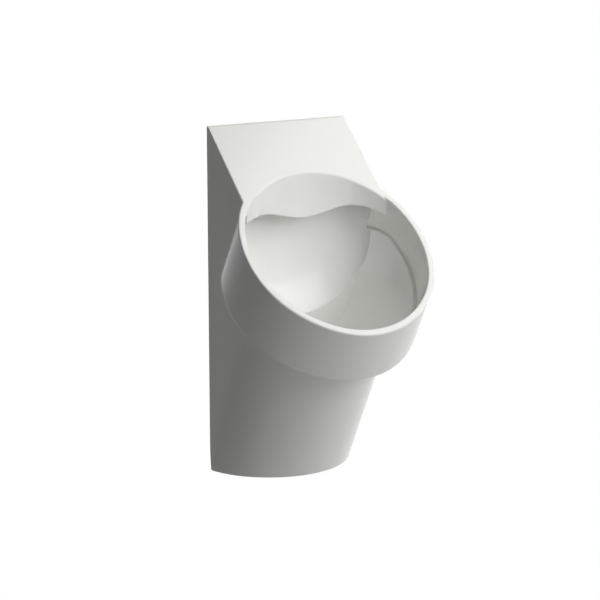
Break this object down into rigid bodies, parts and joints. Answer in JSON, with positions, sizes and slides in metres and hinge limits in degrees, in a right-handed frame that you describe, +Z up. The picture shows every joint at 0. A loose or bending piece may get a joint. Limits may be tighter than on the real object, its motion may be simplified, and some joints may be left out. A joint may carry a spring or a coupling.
{
  "type": "wall hung urinal",
  "caption": "Wall hung ceramic urinal: a leaning round bowl with a wave edged shield, on a D shaped skirt, with concealed flush valve, trap and outlet.",
  "frame": {"origin": "on the wall plane, on the centre line, level with the underside of the ceramic body", "axes": "+Y into the wall, +Z up, +X to the right as seen from the front"},
  "size_m": [0.388, 0.3192, 0.64],
  "materials": {
    "white_glaze": "glossy glaze",
    "zinc_steel": "zinc plated",
    "stainless": "turned",
    "grey_plastic": "moulded",
    "white_plastic": "moulded",
    "black_plastic": "moulded",
    "black_rubber": "moulded",
    "chrome_fittings": "polished",
    "brass_fittings": "machined",
    "fibre_washer": "pressed fibre",
    "copper_pipe": "drawn",
    "battery_foil": "shrunk film"
  },
  "bodies": {
    "urinal": {"ceramic_body": "white_glaze", "hanging_brackets": "zinc_steel", "bracket_liners": "grey_plastic", "seat_seal": "black_rubber", "drain_flange": "chrome_fittings", "collar_gasket": "black_rubber", "trap_cup": "white_plastic", "trap_sensor": "black_plastic", "outlet_gasket": "black_rubber", "outlet_nut": "white_plastic", "outlet_pipe": "white_plastic", "flush_nozzle": "brass_fittings", "nozzle_gasket": "black_rubber", "nozzle_washer": "fibre_washer", "nozzle_nut": "brass_fittings", "riser_fitting": "brass_fittings", "riser_pipe": "copper_pipe", "compression_nuts": "brass_fittings", "supply_tail": "copper_pipe", "valve_body": "brass_fittings", "valve_core_tube": "stainless", "valve_coil": "black_plastic", "coil_nut": "stainless", "plunger_spring": "stainless", "stop_valve_body": "brass_fittings", "stop_gland_nut": "brass_fittings", "control_box": "grey_plastic", "control_lid": "grey_plastic", "lid_screws": "stainless", "battery_pack": "battery_foil", "box_pad": "black_rubber"},
    "insert": {"trap_insert": "white_plastic", "insert_oring": "black_rubber"},
    "strainer": {"drain_strainer": "chrome_fittings"},
    "spindle": {"stop_spindle": "brass_fittings"},
    "plunger": {"valve_plunger": "stainless"}
  },
  "joints": [
    {"name": "insert_lift", "type": "slide", "parent": "urinal", "child": "insert", "axis": [0, 0, 1], "range_m": [0, 0.03]},
    {"name": "strainer_lift", "type": "slide", "parent": "insert", "child": "strainer", "axis": [0, 0, 1], "range_m": [0, 0.02]},
    {"name": "spindle_turn", "type": "hinge", "parent": "urinal", "child": "spindle", "pos_m": [0.1, -0.044, 0.118], "axis": [0, 1, 0], "range_deg": [0, 90]},
    {"name": "plunger_lift", "type": "slide", "parent": "urinal", "child": "plunger", "axis": [0, -1, 0], "range_m": [0, 0.003], "stiffness_N_per_m": 300, "deforming": ["plunger_spring"]}
  ]
}
